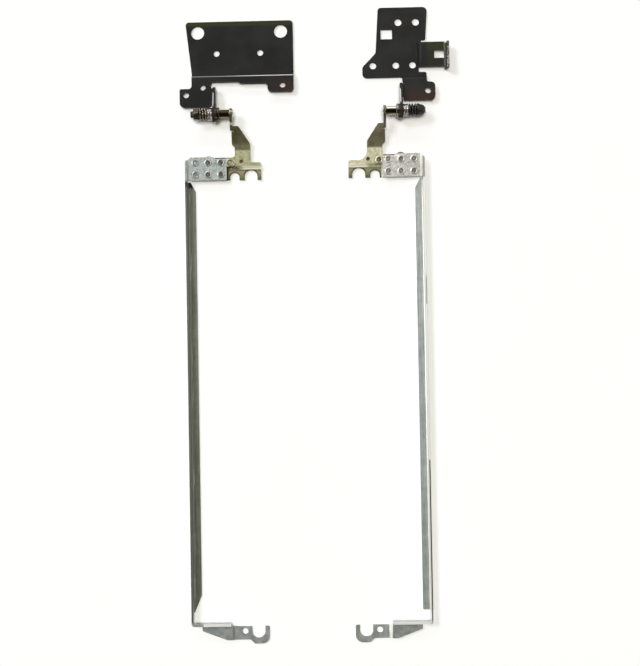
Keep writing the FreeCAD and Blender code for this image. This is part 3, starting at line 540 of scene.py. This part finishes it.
def disc_spring(side, index):
    """A pair of coned discs rim to rim: a ridge with notched edges and a fine parting line."""
    node = "%s_disc_spring_%d" % (side, index)
    low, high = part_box(node)
    thickness = high.x - low.x
    rim = (high.z - low.z) / 2.0
    root = 0.62 * rim
    notches = 11
    notch_depth = 0.045

    def notched(x, radius, angle):
        share = max(0.0, (radius - root) / (rim - root))
        dent = notch_depth * share * (0.5 - 0.5 * math.cos(notches * angle + 1.7 * index))
        return round_point(x, radius * (1.0 - dent), angle)

    half = [(0.0, BORE), (0.0, root), (0.34, rim - 0.06 * MM), (0.40, rim), (0.46, rim - 0.02 * MM)]
    parting = [(0.50, rim - 0.16 * MM)]
    run = half + parting + [(1.0 - share, radius) for share, radius in reversed(half)]
    profile = [(low.x + share * thickness, radius) for share, radius in run]
    piece = turned(node + "_coned", profile, side + "_lid", spring[side], notched)
    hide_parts(node)


def washer(side, name):
    """Bright washer with broken edges and a shallow groove round its rim."""
    node = "%s_%s" % (side, name)
    low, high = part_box(node)
    rim = (high.z - low.z) / 2.0
    edge = 0.16 * MM
    middle = (low.x + high.x) / 2.0
    profile = [(low.x, BORE), (low.x, rim - edge), (low.x + edge, rim), (middle - edge, rim)]
    profile += [(middle, rim - 0.5 * edge), (middle + edge, rim)]
    profile += [(high.x - edge, rim), (high.x, rim - edge), (high.x, BORE)]
    piece = turned(node + "_turned", profile, side + "_lid", bright)
    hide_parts(node)


def lock_nut(side):
    """Hexagon nut with chamfered corners; the right one ends in a tapered crown."""
    node = side + "_lock_nut"
    low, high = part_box(node)
    inner, outer = (high.x, low.x) if side == "left" else (low.x, high.x)
    flat = (high.y - low.y) / 2.0
    crown = {"left": [(0.62, 1.16), (0.80, 1.16), (0.90, 1.10), (1.0, 0.92)],
             "right": [(0.24, 1.16), (0.31, 0.99), (0.60, 0.91), (0.82, 0.80), (0.94, 0.70), (1.0, 0.62)]}

    def hexagon(x, radius, angle):
        sector = math.pi / 3.0
        reach = flat / math.cos(angle % sector - sector / 2.0)
        return round_point(x, min(radius, reach), angle)

    run = [(0.0, BORE / flat), (0.0, 0.95), (0.08, 1.16)] + crown[side] + [(1.0, BORE / flat)]
    profile = [(inner + share * (outer - inner), radius * flat) for share, radius in run]
    piece = turned(node + "_chamfered", profile, side + "_lid", nut_steel[side], hexagon)
    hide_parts(node)


def hinge_shaft(side):
    """Turned shaft: domed rivet, grooved barrel, broad shoulder, flatted journal and threaded tip."""
    node = side + "_hinge_shaft"
    low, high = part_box(node)
    out = OUTWARD[side]
    start, end = (high.x, low.x) if side == "left" else (low.x, high.x)
    nut_low, nut_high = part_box(side + "_lock_nut")
    thread_start = abs((nut_low.x if side == "left" else nut_high.x) - start) / MM
    length = abs(end - start) / MM
    pitch, depth, flats, journal, journal_start = 0.35, 0.14, 1.15, 1.6, 7.65

    def flatted(x, radius, angle):
        along = abs(x - start) / MM
        if along > journal_start:
            if thread_start < along < length - 0.1:
                turn = 2.0 * math.pi * along / pitch - angle
                radius -= depth * MM * (0.5 - 0.5 * math.cos(turn))
            x, across, up = round_point(x, radius, angle)
            return x, across, max(-flats * MM, min(flats * MM, up))
        return round_point(x, radius, angle)

    rivet = [(0.0, 1.45), (0.1, 1.85), (0.3, 2.08), (0.5, 2.1), (0.5, 1.45), (1.7, 1.45)]
    barrel = [(1.7, 1.75), (1.9, 2.0), (2.1, 2.05), (5.95, 2.05), (6.1, 1.85), (6.5, 1.85)]
    shoulder = [(6.5, 2.95), (6.7, 3.15), (7.4, 3.15), (7.6, 2.95)]
    run = rivet + barrel + shoulder + [(7.6, journal), (7.7, journal), (thread_start, journal)]
    steps = 24
    for i in range(1, steps):
        run.append((thread_start + (length - thread_start) * i / steps, journal))
    run.append((length, 1.35))
    profile = [(start + out * along * MM, radius * MM) for along, radius in run]
    finish = shaft_steel[side]
    piece = turned(node + "_threaded", profile, side + "_lid", finish, flatted, False)
    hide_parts(node)


def clinch_lip(name, dull, bright):
    """Raised lip of a pressed joint, with a painted highlight on the side towards the light."""
    metal = Metal(name, {"Metallic": 0.8})
    rub = metal.grain(0.6, 3.0)
    lit = metal.between(rub * 0.9 - metal.lean_x * 0.35, 0.48, 0.66)
    return metal.finish(metal.mix(lit, dull, bright), 0.25 + rub * 0.2)


def clinch_floor(name, colour, oily, start, end):
    """Floor of the pressed cups, darker with oil from start to end along the row."""
    metal = Metal(name, {"Metallic": 0.6})
    rub = metal.grain(0.9, 4.0)
    oil = metal.between(metal.x + rub * 3.0, start, end)
    tone = metal.mix(oil, colour, oily)
    tone = metal.mix(metal.between(rub, 0.40, 0.66), tone * 0.45, tone)
    return metal.finish(tone, 0.30 + rub * 0.25)


def clinches(side):
    """Pressed joints of the rail's tab: a raised lip round each cup, and its button under the plate."""
    mesh = bmesh.new()
    cup = [(0.0, 3.04), (0.40, 3.00), (0.80, 2.98), (0.98, 3.10), (1.08, 3.38), (1.22, 3.54), (1.40, 3.60)]
    cup += [(1.60, 3.56), (1.78, 3.46), (1.90, 3.38), (1.13, 3.36), (1.06, 2.88), (0.0, 2.88)]
    button = [(0.0, 0.98), (0.75, 1.0), (1.05, 1.08), (1.22, 1.24), (1.30, 1.43), (0.0, 1.43)]
    places = [(x, y, 0) for x in CLINCH_X[side] for y in CLINCH_Y] + [TONGUE[side] + (2,)]
    for x, y, first_finish in places:
        for profile, bright_from in ((cup, 4), (button, len(button))):
            revolve_upright(mesh, x, y, profile, bright_from, first_finish)
    add_piece(side + "_clinches", mesh, side + "_lid", clinch_finish[side])


def revolve_upright(mesh, x, y, profile, bright_from, first_finish, segments=28):
    """Closed form about an upright line from (radius, height) in millimetres.

    Past the point bright_from of the profile the faces take the next finish.
    """
    loops = []
    for radius, height in profile:
        if radius == 0.0:
            loops.append([mesh.verts.new((x * MM, y * MM, height * MM))] * segments)
            continue
        loop = []
        for i in range(segments):
            angle = 2.0 * math.pi * i / segments
            place = (x + radius * math.cos(angle), y + radius * math.sin(angle), height)
            loop.append(mesh.verts.new([c * MM for c in place]))
        loops.append(loop)
    for k, (first, second) in enumerate(zip(loops, loops[1:])):
        for i in range(segments):
            j = (i + 1) % segments
            corners = []
            for vert in (first[i], first[j], second[j], second[i]):
                if vert not in corners:
                    corners.append(vert)
            face = mesh.faces.new(corners)
            face.material_index = first_finish + (1 if k >= bright_from else 0)


def dress_sheet(node, finish, edge_finish, edge):
    """Finish of a sheet metal node, its stamped edges broken by a small bevel with its own finish."""
    solid = nodes[node]
    solid.data.materials.clear()
    solid.data.materials.append(finish)
    solid.data.materials.append(edge_finish)
    weld = solid.modifiers.new("weld", "WELD")
    weld.merge_threshold = 0.001 * MM
    flat = solid.modifiers.new("flat", "DECIMATE")
    flat.decimate_type = "DISSOLVE"
    flat.angle_limit = math.radians(0.4)
    bevel = solid.modifiers.new("edge", "BEVEL")
    bevel.limit_method = "ANGLE"
    bevel.angle_limit = math.radians(40.0)
    bevel.width = edge * MM
    bevel.segments = 2
    bevel.material = 1


black = {
    "left": black_coat("black_coat_left", 0.14, left_ear_warmth, left_olive_rim, left_bend_highlights),
    "right": black_coat("black_coat_right", 0.20, right_ear_warmth, right_olive_rim, right_bend_highlights),
}
black_edge = bare_edge("black_coat_edge", (0.05, 0.05, 0.042))
olive = olive_plate("olive_nickel")
olive_edge = bare_edge("olive_nickel_edge", (0.70, 0.67, 0.54))
# The left rail gets darker strip, tab and edge tones than the right: a mild difference in the zinc, and
# mostly painted shade for its darker reflections.
zinc = {
    "left": zinc_plate(
        "left", strip=(0.202, 0.213, 0.160), tab=(0.355, 0.386, 0.362), tab_painted_light=0.2,
        foot=(0.353, 0.372, 0.362), foot_step_highlight=(0.40, 0.42, 0.39), foot_wall=5.2,
        wall=(0.65, 80.0), wall_shade_tone=(0.105, 0.11, 0.098), bend=(0.9, 1.9), bend_highlight_tone=(0.215, 0.225, 0.20)),
    "right": zinc_plate(
        "right", strip=(0.395, 0.425, 0.41), tab=(0.53, 0.525, 0.486), tab_painted_light=0.9,
        foot=(0.355, 0.374, 0.348), foot_step_highlight=(0.82, 0.84, 0.76), foot_wall=0.6,
        wall=(0.55, 20.0), wall_shade_tone=(0.050, 0.050, 0.042), bend=(0.0, 1.25), bend_highlight_tone=(0.92, 0.92, 0.87)),
}
# The right rail's edge is lighter than the left's and its tab line near white: painted light.
zinc_edge = {
    "left": zinc_rim("zinc_edge_left", (0.19, 0.20, 0.185), (0.36, 0.38, 0.36)),
    "right": zinc_rim("zinc_edge_right", (0.60, 0.61, 0.58), (0.97, 0.96, 0.90)),
}
clinch_finish = {
    "left": [clinch_floor("clinch_floor_left", (0.40, 0.42, 0.40), (0.15, 0.14, 0.115), -54.5, -49.0),
             clinch_lip("clinch_lip_left", (0.26, 0.28, 0.265), (0.70, 0.72, 0.70)),
             bare_edge("tongue_floor_left", (0.36, 0.34, 0.22), 0.6),
             clinch_lip("tongue_lip_left", (0.26, 0.245, 0.15), (0.72, 0.69, 0.52))],
    "right": [bare_edge("clinch_floor_right", (0.34, 0.335, 0.31), 0.85),
              clinch_lip("clinch_lip_right", (0.46, 0.455, 0.42), (0.88, 0.87, 0.83)),
              bare_edge("tongue_floor_right", (0.24, 0.215, 0.12), 0.7),
              clinch_lip("tongue_lip_right", (0.45, 0.42, 0.27), (0.97, 0.94, 0.80))],
}
spring = {
    "left": spring_steel("spring_left", (0.085, 0.074, 0.045), (0.45, 0.41, 0.30), "left_disc_spring_1"),
    "right": spring_steel("spring_right", (0.025, 0.025, 0.0245), (0.13, 0.13, 0.13), "right_disc_spring_1"),
}
nut_steel = {
    "left": spring_steel("nut_left", (0.056, 0.051, 0.037), (0.23, 0.215, 0.16), "left_lock_nut"),
    "right": spring_steel("nut_right", (0.024, 0.023, 0.021), (0.07, 0.067, 0.060), "right_lock_nut", 0.34),
}
bright = bright_steel("bright_washer")
shaft_steel = {
    "left": turned_steel(
        "left", barrel=(-45.2, -40.3), rivet=(-40.3, -38.0), rivet_dull=(0.17, 0.15, 0.09),
        rivet_glint=(0.75, 0.72, 0.60), band=(0.52, 0.72), shine=(0.115, 0.082, 0.034),
        rim=(0.28, 0.235, 0.15), brown=(0.10, 0.074, 0.070)),
    "right": turned_steel(
        "right", barrel=(34.0, 38.9), rivet=(32.0, 34.0), rivet_dull=(0.52, 0.49, 0.39),
        rivet_glint=(0.95, 0.93, 0.85), band=(0.36, 0.80), shine=(0.98, 0.97, 0.92),
        rim=(0.42, 0.37, 0.26), brown=(0.36, 0.33, 0.31)),
}
tab_steel = browned_steel("tab_washer")

for side in SIDES:
    dress_sheet(side + "_base_bracket", black[side], black_edge, 0.14)
    dress_sheet(side + "_lid_bracket", olive, olive_edge, 0.14)
    dress_sheet(side + "_screen_rail", zinc[side], zinc_edge[side], 0.10)
    dress_sheet(side + "_tab_washer", tab_steel, tab_steel, 0.10)
    hinge_shaft(side)
    washer(side, "friction_washer")
    washer(side, "pressure_washer")
    for index in (1, 2, 3):
        disc_spring(side, index)
    lock_nut(side)
    clinches(side)


def table_top():
    """White table under the pair."""
    finish = Metal("white_table", {"Metallic": 0.0, "Roughness": 0.85, "Specular IOR Level": 0.2})
    paper = finish.grain(0.02, 2.0)
    material = finish.finish(finish.mix(paper, (0.905, 0.905, 0.90), (0.925, 0.925, 0.92)))
    reach = 2.5
    mesh = bmesh.new()
    corners = [mesh.verts.new((reach * a, reach * b, 0.0)) for a, b in ((-1, -1), (1, -1), (1, 1), (-1, 1))]
    mesh.faces.new(corners)
    data = bpy.data.meshes.new("table")
    mesh.to_mesh(data)
    mesh.free()
    top = bpy.data.objects.new("table", data)
    top.data.materials.append(material)
    top.location.z = -0.02 * MM
    scene.collection.objects.link(top)


def lamp(name, place, aim, size, brightness, colour, mirrored=True):
    """Rectangular softbox of even brightness, kept out of the metal's reflections if not mirrored."""
    light = bpy.data.lights.new(name, "AREA")
    light.shape = "RECTANGLE"
    light.size, light.size_y = size
    light.energy = brightness * math.pi * size[0] * size[1]
    light.color = colour
    holder = bpy.data.objects.new(name, light)
    holder.location = place
    holder.rotation_euler = (Vector(aim) - Vector(place)).to_track_quat("-Z", "Y").to_euler()
    holder.visible_glossy = mirrored
    scene.collection.objects.link(holder)


def room():
    """Pale surroundings, with a fixed dim patch overhead and towards the rails' feet."""
    world = bpy.data.worlds.new("room")
    scene.world = world
    world.use_nodes = True
    air = Finish(world.node_tree)
    world.node_tree.nodes.clear()
    towards = air.node("ShaderNodeTexCoord", {}, {}, "Generated")
    dim_side = Vector((0.0, -0.45, 0.89)).normalized()
    sockets = {0: towards, 1: tuple(dim_side)}
    nearness = air.node("ShaderNodeVectorMath", {"operation": "DOT_PRODUCT"}, sockets, "Value")
    rim_angle, core_angle = math.radians(46.0), math.radians(30.0)
    patch = air.between(nearness, math.cos(rim_angle), math.cos(core_angle))
    tone = air.mix(patch, (1.05, 1.04, 0.97), (0.06, 0.058, 0.052))
    glow = air.node("ShaderNodeBackground", {}, {"Color": tone, "Strength": 1.0}, "Background")
    world.cycles_visibility.diffuse = False
    output = world.node_tree.nodes.new("ShaderNodeOutputWorld")
    world.node_tree.links.new(glow.socket, output.inputs["Surface"])


def camera():
    """Camera straight above, as the photograph was taken; the picture is 640 by 666 pixels."""
    picture_width = 640.0
    focal_pixels = 1085.537
    data = bpy.data.cameras.new("camera")
    data.sensor_fit = "HORIZONTAL"
    data.sensor_width = 36.0
    data.lens = focal_pixels * data.sensor_width / picture_width
    data.clip_start = 0.01
    data.clip_end = 10.0
    eye = bpy.data.objects.new("camera", data)
    place = Vector((11.3987, -13.9723, 520.0)) * MM
    tilt = {"X": 1.09261, "Y": 1.17032, "Z": -1.01516}
    turn = Matrix.Translation(place)
    for axis, degrees in tilt.items():
        turn = turn @ Matrix.Rotation(math.radians(degrees), 4, axis)
    eye.matrix_world = turn
    scene.collection.objects.link(eye)
    scene.camera = eye


table_top()
room()
lamp("ceiling", (0.0, 0.0, 12.0), (0.0, 0.0, 0.0), (3.9, 3.9), 24.0, (1.0, 0.985, 0.91), False)
lamp("window", (-6.20, 4.00, 9.50), (0.0, 0.0, 0.0), (3.6, 3.6), 13.6, (0.89, 0.90, 1.0))
lamp("back", (-0.60, 5.40, 3.30), (0.0, 0.05, 0.0), (6.0, 0.96), 3.2, (1.0, 1.0, 1.0))
camera()
scene.view_settings.view_transform = "Standard"
